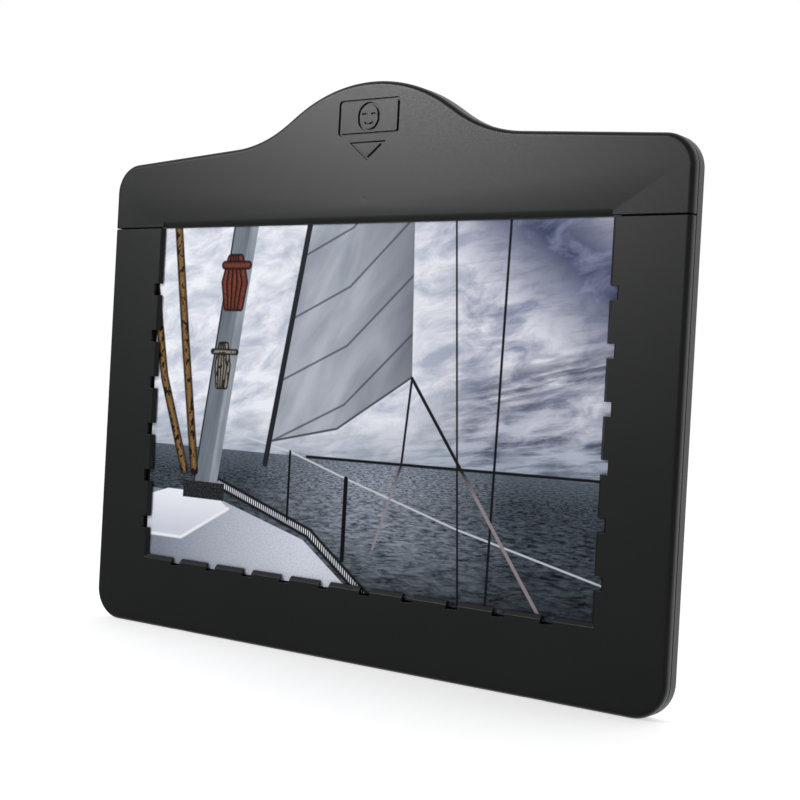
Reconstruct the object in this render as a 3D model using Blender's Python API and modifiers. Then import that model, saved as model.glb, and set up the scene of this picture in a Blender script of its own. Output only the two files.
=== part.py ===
"""Hinged holder for one 6 x 4 inch print: tray, handle cover, notched window frame.

X runs to the right, Y to the back and Z up. The origin is under the middle of the holder,
on the surface that its bottom edge stands on. Lengths are metres.
"""
import bmesh
import bpy
from math import cos, pi, radians, sin, sqrt
from mathutils import Matrix, Vector

MM = 0.001

# ---- driving dimensions ----
OVERALL_WIDTH = 190.0 * MM
SEAM_HEIGHT = 118.5 * MM          # bottom edge to the joint between frame and cover
HUMP_RISE = 38.0 * MM             # joint to the top of the handle
HUMP_RADIUS = 46.5 * MM
HUMP_FOOT_RADIUS = 39.0 * MM
HUMP_SLOPE = radians(33.0)
HUMP_FLANK = 4.2 * MM             # straight stretch between the two arcs
SHOULDER_SLOPE = radians(3.8)
BOTTOM_CORNER_RADIUS = 9.0 * MM
TOP_CORNER_RADIUS = 8.5 * MM
THICKNESS = 6.2 * MM
FRONT_SHELL_DEPTH = 2.3 * MM
FRONT_ROUNDING = 1.4 * MM
BACK_ROUNDING = 1.0 * MM
FACE_PLATE = 1.1 * MM
FLOOR_PLATE = 1.5 * MM
SIDE_WALL = 1.2 * MM

PRINT_WIDTH = 152.4 * MM
PRINT_HEIGHT = 101.6 * MM
PRINT_THICKNESS = 0.3 * MM
PRINT_ABOVE_SEAM = 2.4 * MM       # how far the print reaches up behind the cover

TAB_OVERLAP = 1.75 * MM           # how far each side tab reaches over the print's edge
SILL_OVERLAP = 1.7 * MM           # how far the bottom tabs reach over it
TAB_SLOPE = 1.05 * MM
TAB_SLOPE_DEPTH = 0.9 * MM
SIDE_NOTCH_DEPTH = 2.65 * MM      # from the tab tips outwards
BOTTOM_NOTCH_DEPTH = 2.1 * MM
NOTCH_PITCH = 13.9 * MM
NOTCH_WIDTH = 3.5 * MM
FIRST_SIDE_NOTCH = 18.4 * MM      # joint down to the first notch's middle
LIP_RISE = 1.8 * MM               # the cover's sloping lip over the window
LIP_DROP = 0.15 * MM

HINGE_BARREL_RADIUS = 1.6 * MM
HINGE_PIN_RADIUS = 0.4 * MM
HINGE_PIN_LENGTH = 17.4 * MM
HINGE_CENTRE_X = 60.0 * MM
HINGE_LUG_WIDTH = 5.4 * MM
HINGE_LUG_RADIUS = 0.75 * MM
HINGE_SKIN = 0.75 * MM            # frame left standing in front of a lug

MAGNET_RADIUS = 2.5 * MM
MAGNET_THICKNESS = 1.5 * MM
KEEPER_THICKNESS = 0.7 * MM
CATCH_INSET = 9.0 * MM            # side edge to the catch's middle
CATCH_BELOW_SEAM = 7.0 * MM
CUP_WALL = 0.8 * MM

SCREW_SHANK_RADIUS = 0.8 * MM
SCREW_HEAD_RADIUS = 1.9 * MM
SCREW_HEAD_HEIGHT = 0.8 * MM
SCREW_BOSS_RADIUS = 2.3 * MM
SCREW_PAD_RISE = 0.7 * MM
SCREW_SEAT = 0.3 * MM             # how far the head's seat lies inside the floor plate
CROSS_ARM = 1.05 * MM
CROSS_SLOT = 0.27 * MM
CROSS_DEPTH = 0.48 * MM
HUMP_SCREW_DROP = 8.5 * MM        # top of the handle down to its screw
SHOULDER_SCREW_RISE = 10.5 * MM   # joint up to the other screws
SCREW_SIDE_INSET = 11.0 * MM
SCREW_INNER_X = 42.0 * MM

PLATE_THICKNESS = 1.2 * MM
SPRING_LENGTH = 30.0 * MM
SPRING_WIDTH = 6.0 * MM
SPRING_THICKNESS = 0.2 * MM
SPRING_X = 48.0 * MM
SPRING_Z_INSET = 18.0 * MM
RIB_WALL = 1.2 * MM
HOOK_LENGTH = 8.0 * MM
HOOK_REACH = 0.9 * MM
HOOK_THICKNESS = 0.45 * MM
HOOK_SPREAD = 0.3                 # a hook above or below the middle, as a share of the print
THUMB_NOTCH = 16.0 * MM

SIGN_GROOVE = 0.5 * MM
SIGN_DEPTH = 0.35 * MM
SIGN_FINE_GROOVE = 0.35 * MM      # eyes and mouth
SIGN_WIDTH = 20.2 * MM
SIGN_HEIGHT = 9.6 * MM
SIGN_CORNER = 1.1 * MM
SIGN_CENTRE_RISE = 28.3 * MM      # joint up to the middle of the engraved picture sign
FACE_SIGN_RADIUS = 3.9 * MM
ARROW_WIDTH = 12.1 * MM
ARROW_HEIGHT = 4.9 * MM
ARROW_TOP_RISE = 21.6 * MM

# ---- clearances ----
SEAM_GAP = 0.3 * MM
SEAM_CHAMFER = 0.35 * MM
PARTING_GAP = 0.3 * MM
REST_GAP = 0.3 * MM               # between pieces that lie on each other
POCKET_GAP = 0.4 * MM             # print and plate to the pocket's walls
RUNNING_GAP = 0.08 * MM           # pin in its saddle
BARREL_GAP = 0.3 * MM
RIB_GAP = 0.35 * MM               # pocket wall to the back of the face plate
MOUTH_GAP = 0.02 * MM             # how much narrower a saddle's mouth is than its pin, each side
BARREL_STEP = 0.1 * MM            # how far the barrel lies inside the frame's own edge
CUT = 0.2 * MM                    # how far a cutter runs past what it cuts

# ---- derived positions ----
FRONT_Y = -THICKNESS / 2
BACK_Y = THICKNESS / 2
SHELL_BACK_Y = FRONT_Y + FRONT_SHELL_DEPTH
TRAY_FRONT_Y = SHELL_BACK_Y + PARTING_GAP
FACE_BACK_Y = FRONT_Y + FACE_PLATE
FLOOR_Y = BACK_Y - FLOOR_PLATE
OVERALL_HEIGHT = SEAM_HEIGHT + HUMP_RISE
PRINT_FRONT_Y = FACE_BACK_Y + REST_GAP
PRINT_BACK_Y = PRINT_FRONT_Y + PRINT_THICKNESS
PLATE_FRONT_Y = PRINT_BACK_Y + REST_GAP
PLATE_BACK_Y = PLATE_FRONT_Y + PLATE_THICKNESS
PRINT_TOP = SEAM_HEIGHT + PRINT_ABOVE_SEAM
PRINT_BOTTOM = PRINT_TOP - PRINT_HEIGHT
RIB_FRONT_Y = FACE_BACK_Y + RIB_GAP
PIVOT_Y = FRONT_Y + HINGE_BARREL_RADIUS
PIVOT_Z = HINGE_BARREL_RADIUS
BAR_TOP = PIVOT_Z + HINGE_BARREL_RADIUS + CUT
TAB_TIP_HALF = PRINT_WIDTH / 2 - TAB_OVERLAP
WINDOW_HEIGHT = PRINT_HEIGHT - PRINT_ABOVE_SEAM - SILL_OVERLAP
BOTTOM_NOTCHES = 2 * int(TAB_TIP_HALF / NOTCH_PITCH)
SIDE_NOTCHES = int((WINDOW_HEIGHT - FIRST_SIDE_NOTCH - NOTCH_WIDTH) / NOTCH_PITCH) + 1
CATCH_X = OVERALL_WIDTH / 2 - CATCH_INSET
CATCH_Z = SEAM_HEIGHT - CATCH_BELOW_SEAM
KEEPER_FRONT_Y = FACE_BACK_Y + REST_GAP
CUP_RADIUS = MAGNET_RADIUS + REST_GAP + CUP_WALL
SCREW_SEAT_Y = FLOOR_Y + SCREW_SEAT
SCREW_HEAD_Y = SCREW_SEAT_Y + REST_GAP
COVER_BOSS_END_Y = FLOOR_Y - SCREW_PAD_RISE - REST_GAP

PARTS = "photo_holder"
CUTTERS = "cutters"


# ---- scene and materials ----

def clear_scene():
    for obj in list(bpy.data.objects):
        bpy.data.objects.remove(obj, do_unlink=True)


def collection(name):
    found = bpy.data.collections.get(name)
    if found is None:
        found = bpy.data.collections.new(name)
        bpy.context.scene.collection.children.link(found)
    return found


def material(name, color, roughness, metallic=0.0):
    mat = bpy.data.materials.new(name)
    mat.use_nodes = True
    shader = mat.node_tree.nodes["Principled BSDF"]
    shader.inputs["Base Color"].default_value = (*color, 1.0)
    shader.inputs["Roughness"].default_value = roughness
    shader.inputs["Metallic"].default_value = metallic
    mat.diffuse_color = (*color, 1.0)
    return mat


def make_materials():
    return {
        "shell": material("black_moulded_plastic", (0.040, 0.041, 0.043), 0.55),
        "plate": material("dark_grey_plastic", (0.075, 0.076, 0.080), 0.60),
        "print": material("photo_paper", (0.42, 0.45, 0.52), 0.30),
        "steel": material("bright_steel", (0.62, 0.62, 0.60), 0.30, 1.0),
        "screw": material("black_zinc_steel", (0.10, 0.10, 0.11), 0.40, 1.0),
        "spring": material("phosphor_bronze", (0.60, 0.38, 0.18), 0.35, 1.0),
        "magnet": material("nickel_plated_magnet", (0.66, 0.65, 0.62), 0.25, 1.0),
    }


# ---- building blocks ----

def place(mesh, name, group, mat=None):
    obj = bpy.data.objects.new(name, mesh)
    collection(group).objects.link(obj)
    if mat is not None:
        mesh.materials.clear()
        mesh.materials.append(mat)
    if group == CUTTERS:
        obj.hide_render = True
        obj.display_type = "WIRE"
    return obj


def box(name, low, high, group=CUTTERS):
    mesh = bpy.data.meshes.new(name)
    bm = bmesh.new()
    bmesh.ops.create_cube(bm, size=1.0)
    size = [high[i] - low[i] for i in range(3)]
    middle = [(high[i] + low[i]) / 2 for i in range(3)]
    bmesh.ops.scale(bm, vec=size, verts=bm.verts)
    bmesh.ops.translate(bm, vec=middle, verts=bm.verts)
    bm.to_mesh(mesh)
    bm.free()
    return place(mesh, name, group)


def cylinder(name, radius, start, end, sides=24, group=CUTTERS):
    """Round bar between two points, closed at both ends."""
    mesh = bpy.data.meshes.new(name)
    bm = bmesh.new()
    run = Vector(end) - Vector(start)
    bmesh.ops.create_cone(bm, cap_ends=True, segments=sides, radius1=radius,
                          radius2=radius, depth=run.length)
    turn = run.to_track_quat("Z", "Y").to_matrix().to_4x4()
    middle = (Vector(start) + Vector(end)) / 2
    bmesh.ops.transform(bm, matrix=Matrix.Translation(middle) @ turn, verts=bm.verts)
    bm.to_mesh(mesh)
    bm.free()
    return place(mesh, name, group)


def curve_plate(name, loops, y_low, y_high, group=CUTTERS):
    """Plate from closed loops of (x, z) points, standing between two depths."""
    curve = bpy.data.curves.new(name, "CURVE")
    curve.dimensions = "2D"
    curve.fill_mode = "BOTH"
    curve.extrude = (y_high - y_low) / 2
    for loop in loops:
        spline = curve.splines.new("POLY")
        spline.points.add(len(loop) - 1)
        for point, (x, z) in zip(spline.points, loop):
            point.co = (x, z, 0.0, 1.0)
        spline.use_cyclic_u = True
    guide = bpy.data.objects.new(name + "_curve", curve)
    collection(CUTTERS).objects.link(guide)
    bpy.context.view_layer.update()
    evaluated = guide.evaluated_get(bpy.context.evaluated_depsgraph_get())
    mesh = bpy.data.meshes.new_from_object(evaluated)
    mesh.name = name
    bpy.data.objects.remove(guide, do_unlink=True)
    bm = bmesh.new()
    bm.from_mesh(mesh)
    bmesh.ops.remove_doubles(bm, verts=bm.verts, dist=0.001 * MM)
    bmesh.ops.dissolve_limit(bm, angle_limit=radians(0.5), verts=bm.verts, edges=bm.edges)
    stand = Matrix.Translation((0, (y_low + y_high) / 2, 0)) @ Matrix.Rotation(pi / 2, 4, "X")
    bmesh.ops.transform(bm, matrix=stand, verts=bm.verts)
    bmesh.ops.recalc_face_normals(bm, faces=bm.faces)
    bm.to_mesh(mesh)
    bm.free()
    return place(mesh, name, group)


def round_rim(obj, y_level, radius, segments=4):
    """Round the outer edge of a plate on the side that lies at y_level."""
    bm = bmesh.new()
    bm.from_mesh(obj.data)
    rim = [edge for edge in bm.edges
           if all(abs(vert.co.y - y_level) < 0.01 * MM for vert in edge.verts)
           and edge.calc_face_angle(0) > radians(60)]
    bmesh.ops.bevel(bm, geom=rim, offset=radius, segments=segments, profile=0.5,
                    affect="EDGES", clamp_overlap=False)
    bm.to_mesh(obj.data)
    bm.free()


def boolean(obj, tool, operation):
    modifier = obj.modifiers.new(tool.name, "BOOLEAN")
    modifier.operation = operation
    modifier.object = tool
    modifier.solver = "EXACT"
    tool.hide_render = True
    tool.display_type = "WIRE"


def bake(obj):
    """Apply an object's modifiers, so that it can be copied or cut again."""
    bpy.context.view_layer.update()
    evaluated = obj.evaluated_get(bpy.context.evaluated_depsgraph_get())
    mesh = bpy.data.meshes.new_from_object(evaluated)
    obj.modifiers.clear()
    obj.data = mesh


def smooth(obj, angle=30.0):
    bake(obj)
    obj.data.shade_smooth()
    obj.data.set_sharp_from_angle(angle=radians(angle))


def set_origin(obj, point):
    """Put the object's origin on a point, with its shape staying where it is."""
    obj.data.transform(Matrix.Translation(-Vector(point)))
    obj.location = point


# ---- outline ----

def arc(centre, radius, start, end, steps):
    """Points on an arc, angles from +X towards +Z."""
    points = []
    for i in range(steps + 1):
        angle = start + (end - start) * i / steps
        points.append((centre[0] + radius * cos(angle), centre[1] + radius * sin(angle)))
    return points


def half_outline(inset):
    """Right half of the outline, from the bottom up to the top of the handle."""
    half = OVERALL_WIDTH / 2
    crown = (0.0, OVERALL_HEIGHT - HUMP_RADIUS)
    out = (sin(HUMP_SLOPE), cos(HUMP_SLOPE))
    flank_top = (crown[0] + HUMP_RADIUS * out[0], crown[1] + HUMP_RADIUS * out[1])
    flank_foot = (flank_top[0] + HUMP_FLANK * out[1], flank_top[1] - HUMP_FLANK * out[0])
    foot = (flank_foot[0] + HUMP_FOOT_RADIUS * out[0], flank_foot[1] + HUMP_FOOT_RADIUS * out[1])
    shoulder = (foot[0] - HUMP_FOOT_RADIUS * sin(SHOULDER_SLOPE),
                foot[1] - HUMP_FOOT_RADIUS * cos(SHOULDER_SLOPE))
    corner_x = half - TOP_CORNER_RADIUS
    drop = (TOP_CORNER_RADIUS + (corner_x - shoulder[0]) * sin(SHOULDER_SLOPE)) / cos(SHOULDER_SLOPE)
    corner = (corner_x, shoulder[1] - drop)
    low = (half - BOTTOM_CORNER_RADIUS, BOTTOM_CORNER_RADIUS)
    up = pi / 2
    points = arc(low, BOTTOM_CORNER_RADIUS - inset, -up, 0.0, 7)
    points += arc(corner, TOP_CORNER_RADIUS - inset, 0.0, up - SHOULDER_SLOPE, 7)
    points += arc(foot, HUMP_FOOT_RADIUS + inset, -up - SHOULDER_SLOPE, -up - HUMP_SLOPE, 6)
    points += arc(crown, HUMP_RADIUS - inset, up - HUMP_SLOPE, up, 8)
    return points


def outline(inset=0.0):
    right = half_outline(inset)
    left = [(-x, z) for x, z in reversed(right[:-1])]
    return right + left


# ---- front shell: frame and cover ----

def front_blank(name, group=PARTS):
    blank = curve_plate(name, [outline()], FRONT_Y, SHELL_BACK_Y, group)
    round_rim(blank, FRONT_Y, FRONT_ROUNDING)
    return blank


def seam_grooves():
    """Three square bars whose corners cut the V along the joint, on the face and both sides."""
    half = OVERALL_WIDTH / 2
    side = SEAM_CHAMFER * sqrt(2)
    along_x = (OVERALL_WIDTH + 2 * CUT, side, side)
    along_y = (side, 2 * FRONT_SHELL_DEPTH + CUT, side)
    spots = [("groove_face", (0, FRONT_Y, SEAM_HEIGHT), along_x, "X"),
             ("groove_left", (-half, FRONT_Y, SEAM_HEIGHT), along_y, "Y"),
             ("groove_right", (half, FRONT_Y, SEAM_HEIGHT), along_y, "Y")]
    bars = []
    for name, middle, size, axis in spots:
        low = [-s / 2 for s in size]
        high = [s / 2 for s in size]
        bar = box(name, low, high)
        turn = Matrix.Rotation(pi / 4, 4, axis)
        bar.data.transform(Matrix.Translation(middle) @ turn)
        bars.append(bar)
    return bars


def wedge(name, points, x_low, x_high):
    """Prism along X from a closed loop of (y, z) points."""
    bar = curve_plate(name, [points], x_low, x_high)
    # The loop was drawn as (x, z) and extruded along Y: turn it so that it runs along X.
    swap = Matrix(((0, 1, 0, 0), (1, 0, 0, 0), (0, 0, 1, 0), (0, 0, 0, 1)))
    bar.data.transform(swap)
    bar.data.flip_normals()
    return bar


def window_outline():
    """Window with its tabs: notches are cut into the sides and the bottom."""
    half = TAB_TIP_HALF
    wall = half + SIDE_NOTCH_DEPTH
    floor = SEAM_HEIGHT - WINDOW_HEIGHT
    sill = floor - BOTTOM_NOTCH_DEPTH
    top = SEAM_HEIGHT + CUT
    width = NOTCH_WIDTH / 2
    right = [(half, top)]
    for i in range(SIDE_NOTCHES):
        z = SEAM_HEIGHT - FIRST_SIDE_NOTCH - i * NOTCH_PITCH
        right += [(half, z + width), (wall, z + width), (wall, z - width), (half, z - width)]
    right.append((half, floor))
    for i in range(BOTTOM_NOTCHES // 2):
        x = (BOTTOM_NOTCHES / 2 - 0.5 - i) * NOTCH_PITCH
        right += [(x + width, floor), (x + width, sill), (x - width, sill), (x - width, floor)]
    left = [(-x, z) for x, z in reversed(right)]
    return right + left


def tab_slope():
    """Tapered plug that bevels the tabs towards the print: both sides and the bottom."""
    floor = SEAM_HEIGHT - WINDOW_HEIGHT
    tip_y = FRONT_Y + TAB_SLOPE_DEPTH
    plug = box("tab_slope", (-TAB_TIP_HALF, FRONT_Y - CUT, floor),
               (TAB_TIP_HALF, tip_y + CUT, SEAM_HEIGHT + CUT))
    for vert in plug.data.vertices:
        spread = (tip_y - vert.co.y) * TAB_SLOPE / TAB_SLOPE_DEPTH
        vert.co.x += spread if vert.co.x > 0 else -spread
        if vert.co.z < SEAM_HEIGHT:
            vert.co.z -= spread
    return plug


def ring(name, x, z, inner, outer, y_low, y_high):
    tube = cylinder(name, outer, (x, y_low, z), (x, y_high, z))
    hole = cylinder(name + "_hole", inner, (x, y_low - CUT, z), (x, y_high + CUT, z))
    boolean(tube, hole, "DIFFERENCE")
    bake(tube)
    return tube


def make_front_frame(mat):
    frame = front_blank("front_frame")
    half = OVERALL_WIDTH / 2
    above = box("above_seam", (-half - CUT, FRONT_Y - CUT, SEAM_HEIGHT - SEAM_GAP / 2),
                (half + CUT, BACK_Y, OVERALL_HEIGHT + CUT))
    boolean(frame, above, "DIFFERENCE")
    barrel = cylinder("barrel", HINGE_BARREL_RADIUS - BARREL_STEP, (-half, PIVOT_Y, PIVOT_Z),
                      (half, PIVOT_Y, PIVOT_Z), 32)
    clip = curve_plate("barrel_clip", [outline(BARREL_STEP)], FRONT_Y + FRONT_ROUNDING, FLOOR_Y)
    boolean(barrel, clip, "INTERSECT")
    bake(barrel)
    boolean(frame, barrel, "UNION")
    hollow = curve_plate("frame_hollow", [outline(SIDE_WALL)], FACE_BACK_Y, SHELL_BACK_Y + CUT)
    keep_bar = box("keep_bar", (-half, FRONT_Y, -CUT), (half, FLOOR_Y, BAR_TOP))
    boolean(hollow, keep_bar, "DIFFERENCE")
    bake(hollow)
    boolean(frame, hollow, "DIFFERENCE")
    window = curve_plate("window_cut", [window_outline()], FRONT_Y - CUT, SHELL_BACK_Y + CUT)
    boolean(frame, window, "DIFFERENCE")
    boolean(frame, tab_slope(), "DIFFERENCE")
    for bar in seam_grooves():
        boolean(frame, bar, "DIFFERENCE")
    for side, tag in ((-1, "left"), (1, "right")):
        x = side * HINGE_CENTRE_X
        reach = HINGE_LUG_WIDTH / 2 + REST_GAP
        pocket = box("lug_pocket_" + tag, (x - reach, FRONT_Y + HINGE_SKIN, -CUT),
                     (x + reach, PIVOT_Y + HINGE_BARREL_RADIUS + CUT, BAR_TOP + CUT))
        boolean(frame, pocket, "DIFFERENCE")
        run = HINGE_PIN_LENGTH / 2 + REST_GAP
        bore = cylinder("pin_bore_" + tag, HINGE_PIN_RADIUS + RUNNING_GAP,
                        (x - run, PIVOT_Y, PIVOT_Z), (x + run, PIVOT_Y, PIVOT_Z), 16)
        boolean(frame, bore, "DIFFERENCE")
        gape = HINGE_PIN_RADIUS - MOUTH_GAP
        mouth = box("saddle_mouth_" + tag, (x - run, PIVOT_Y, PIVOT_Z - gape),
                    (x + run, PIVOT_Y + HINGE_BARREL_RADIUS + CUT, PIVOT_Z + gape))
        boolean(frame, mouth, "DIFFERENCE")
        cup = ring("keeper_cup_" + tag, side * CATCH_X, CATCH_Z, MAGNET_RADIUS + REST_GAP, CUP_RADIUS,
                   FACE_BACK_Y - CUT, KEEPER_FRONT_Y + KEEPER_THICKNESS)
        boolean(frame, cup, "UNION")
    smooth(frame)
    frame.data.materials.clear()
    frame.data.materials.append(mat)
    set_origin(frame, (0, PIVOT_Y, PIVOT_Z))
    return frame


def sign_cutters():
    """Engraved picture sign: a framed round face over a triangle that points down."""
    depth = (FRONT_Y - CUT, FRONT_Y + SIGN_DEPTH)
    middle = SEAM_HEIGHT + SIGN_CENTRE_RISE

    def panel(inset):
        wide = SIGN_WIDTH / 2 - SIGN_CORNER
        tall = SIGN_HEIGHT / 2 - SIGN_CORNER
        loop = []
        for i, (sx, sz) in enumerate(((1, -1), (1, 1), (-1, 1), (-1, -1))):
            start = (i - 1) * pi / 2
            loop += arc((sx * wide, middle + sz * tall), SIGN_CORNER - inset, start, start + pi / 2, 4)
        return loop

    def face(inset):
        return arc((0, middle), FACE_SIGN_RADIUS - inset, 0, 2 * pi * 23 / 24, 23)

    def arrow(inset):
        top = SEAM_HEIGHT + ARROW_TOP_RISE - inset
        flank = sqrt((ARROW_WIDTH / 2) ** 2 + ARROW_HEIGHT ** 2)
        half = ARROW_WIDTH / 2 - inset * (flank + ARROW_WIDTH / 2) / ARROW_HEIGHT
        return [(half, top), (-half, top), (0, top - half * ARROW_HEIGHT / (ARROW_WIDTH / 2))]

    cutters = []
    for name, shape in (("sign_panel", panel), ("sign_face", face), ("sign_arrow", arrow)):
        cutters.append(curve_plate(name, [shape(0.0), shape(SIGN_GROOVE)], *depth))
    eye_x = FACE_SIGN_RADIUS * 0.38
    eye_z = middle + FACE_SIGN_RADIUS * 0.16
    eye = FACE_SIGN_RADIUS * 0.17
    for side, tag in ((-1, "left"), (1, "right")):
        cutters.append(box("sign_eye_" + tag, (side * eye_x - eye, depth[0], eye_z),
                           (side * eye_x + eye, depth[1], eye_z + SIGN_FINE_GROOVE)))
    smile = (0, middle - FACE_SIGN_RADIUS * 0.05)
    radius = FACE_SIGN_RADIUS * 0.52
    outer = arc(smile, radius, radians(220), radians(320), 8)
    inner = arc(smile, radius - SIGN_FINE_GROOVE, radians(320), radians(220), 8)
    cutters.append(curve_plate("sign_smile", [outer + inner], *depth))
    return cutters


def screw_spots():
    side = OVERALL_WIDTH / 2 - SCREW_SIDE_INSET
    row = SEAM_HEIGHT + SHOULDER_SCREW_RISE
    return [(-side, row), (-SCREW_INNER_X, row), (0.0, OVERALL_HEIGHT - HUMP_SCREW_DROP),
            (SCREW_INNER_X, row), (side, row)]


def make_handle_cover(mat):
    cover = front_blank("handle_cover")
    half = OVERALL_WIDTH / 2
    # The cover ends just above the joint, and its lip dips a little below it between the tabs.
    edge = SEAM_HEIGHT + SEAM_GAP / 2
    lip = SEAM_HEIGHT - LIP_DROP
    lip_end = TAB_TIP_HALF - LIP_DROP
    right = [(half + CUT, -CUT), (half + CUT, edge), (lip_end, edge), (lip_end, lip)]
    left = [(-x, z) for x, z in reversed(right)]
    below = curve_plate("below_seam", [right + left], FRONT_Y - CUT, BACK_Y)
    boolean(cover, below, "DIFFERENCE")
    hollow = curve_plate("cover_hollow", [outline(SIDE_WALL)], FACE_BACK_Y, SHELL_BACK_Y + CUT)
    boolean(cover, hollow, "DIFFERENCE")
    run = LIP_RISE + LIP_DROP
    deep = FRONT_Y + TAB_SLOPE_DEPTH
    ahead = deep - 2 * TAB_SLOPE_DEPTH
    loop = [(deep, lip), (ahead, lip + 2 * run), (ahead, lip - run), (deep, lip - run)]
    boolean(cover, wedge("lip_slope", loop, -TAB_TIP_HALF, TAB_TIP_HALF), "DIFFERENCE")
    for bar in seam_grooves():
        bar.name = bar.name + "_cover"
        boolean(cover, bar, "DIFFERENCE")
    for cutter in sign_cutters():
        boolean(cover, cutter, "DIFFERENCE")
    for i, (x, z) in enumerate(screw_spots()):
        boss = cylinder("cover_boss_%d" % i, SCREW_BOSS_RADIUS, (x, FACE_BACK_Y - CUT, z),
                        (x, COVER_BOSS_END_Y, z), 20)
        boolean(cover, boss, "UNION")
        bore = cylinder("cover_bore_%d" % i, SCREW_SHANK_RADIUS + REST_GAP / 2,
                        (x, FACE_BACK_Y - CUT / 2, z), (x, COVER_BOSS_END_Y + CUT, z), 16)
        boolean(cover, bore, "DIFFERENCE")
    smooth(cover)
    cover.data.materials.clear()
    cover.data.materials.append(mat)
    return cover


# ---- rear tray ----

def pocket_ring():
    """Wall round the print and the plate, with a notch at the bottom for a thumb."""
    x_in = PRINT_WIDTH / 2 + POCKET_GAP
    z_low, z_high = PRINT_BOTTOM - POCKET_GAP, PRINT_TOP + POCKET_GAP
    outer = box("pocket_ring", (-x_in - RIB_WALL, RIB_FRONT_Y, z_low - RIB_WALL),
                (x_in + RIB_WALL, FLOOR_Y + CUT, z_high + RIB_WALL))
    inner = box("pocket_inside", (-x_in, RIB_FRONT_Y - CUT, z_low), (x_in, BACK_Y, z_high))
    boolean(outer, inner, "DIFFERENCE")
    notch = box("thumb_notch", (-THUMB_NOTCH / 2, RIB_FRONT_Y - CUT, z_low - RIB_WALL - CUT),
                (THUMB_NOTCH / 2, PLATE_FRONT_Y, z_low + CUT))
    boolean(outer, notch, "DIFFERENCE")
    bake(outer)
    return outer


def hook_spots():
    """Four hooks that stop the plate from coming forward: side, height of the middle."""
    step = PRINT_HEIGHT * HOOK_SPREAD
    middle = PRINT_BOTTOM + PRINT_HEIGHT / 2
    return [(side, middle + up * step) for side in (-1, 1) for up in (-1, 1)]


def hinge_lug(tag, x):
    """Lug that reaches forward from the floor and holds the eye round the pin."""
    r = HINGE_LUG_RADIUS
    back = FLOOR_Y + CUT
    low = PIVOT_Z - 0.1 * r
    high = PIVOT_Z + 1.6 * r
    loop = arc((PIVOT_Y, PIVOT_Z), r, radians(100), radians(290), 12)
    loop += [(PIVOT_Y + 1.6 * r, low), (back, low), (back, high), (PIVOT_Y + 0.7 * r, high)]
    half = HINGE_LUG_WIDTH / 2
    return wedge("hinge_lug_" + tag, loop, x - half, x + half)


def make_rear_tray(mat):
    half = OVERALL_WIDTH / 2
    tray = curve_plate("rear_tray", [outline()], TRAY_FRONT_Y, BACK_Y, PARTS)
    round_rim(tray, BACK_Y, BACK_ROUNDING)
    hollow = curve_plate("tray_hollow", [outline(SIDE_WALL)], TRAY_FRONT_Y - CUT, FLOOR_Y)
    boolean(tray, hollow, "DIFFERENCE")
    relief = cylinder("barrel_relief", HINGE_BARREL_RADIUS + BARREL_GAP,
                      (-half - CUT, PIVOT_Y, PIVOT_Z), (half + CUT, PIVOT_Y, PIVOT_Z), 32)
    boolean(tray, relief, "DIFFERENCE")
    boolean(tray, pocket_ring(), "UNION")
    edge = PRINT_WIDTH / 2 + POCKET_GAP
    hook_y = PLATE_FRONT_Y + REST_GAP / 2
    for i, (side, z) in enumerate(hook_spots()):
        x_low, x_high = sorted((side * (edge + CUT), side * (edge - HOOK_REACH)))
        hook = box("hook_%d" % i, (x_low, hook_y, z - HOOK_LENGTH / 2),
                   (x_high, hook_y + HOOK_THICKNESS, z + HOOK_LENGTH / 2))
        boolean(tray, hook, "UNION")
    for side, tag in ((-1, "left"), (1, "right")):
        boolean(tray, hinge_lug(tag, side * HINGE_CENTRE_X), "UNION")
        eye = cylinder("lug_eye_" + tag, HINGE_PIN_RADIUS + RUNNING_GAP,
                       (side * HINGE_CENTRE_X - HINGE_LUG_WIDTH, PIVOT_Y, PIVOT_Z),
                       (side * HINGE_CENTRE_X + HINGE_LUG_WIDTH, PIVOT_Y, PIVOT_Z), 16)
        boolean(tray, eye, "DIFFERENCE")
        x = side * CATCH_X
        front = magnet_front_y()
        cup = cylinder("magnet_cup_" + tag, CUP_RADIUS, (x, front, CATCH_Z), (x, FLOOR_Y + CUT, CATCH_Z))
        boolean(tray, cup, "UNION")
        seat = cylinder("magnet_seat_" + tag, MAGNET_RADIUS + REST_GAP, (x, front - CUT, CATCH_Z),
                        (x, front + MAGNET_THICKNESS + REST_GAP, CATCH_Z))
        boolean(tray, seat, "DIFFERENCE")
    for i, (x, z) in enumerate(screw_spots()):
        pad = cylinder("screw_pad_%d" % i, SCREW_BOSS_RADIUS + CUP_WALL,
                       (x, FLOOR_Y - SCREW_PAD_RISE, z), (x, FLOOR_Y + CUT, z))
        boolean(tray, pad, "UNION")
        sink = cylinder("screw_sink_%d" % i, SCREW_HEAD_RADIUS + REST_GAP,
                        (x, SCREW_SEAT_Y, z), (x, BACK_Y + CUT, z))
        boolean(tray, sink, "DIFFERENCE")
        hole = cylinder("screw_hole_%d" % i, SCREW_SHANK_RADIUS + REST_GAP,
                        (x, FLOOR_Y - SCREW_PAD_RISE - CUT, z), (x, BACK_Y, z), 16)
        boolean(tray, hole, "DIFFERENCE")
    smooth(tray)
    tray.data.materials.clear()
    tray.data.materials.append(mat)
    return tray


# ---- small pieces ----

def magnet_front_y():
    return KEEPER_FRONT_Y + KEEPER_THICKNESS + REST_GAP


def make_print(mat):
    half = PRINT_WIDTH / 2
    piece = box("photo_print", (-half, PRINT_FRONT_Y, PRINT_BOTTOM),
                (half, PRINT_BACK_Y, PRINT_TOP), PARTS)
    piece.data.materials.append(mat)
    return piece


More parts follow.
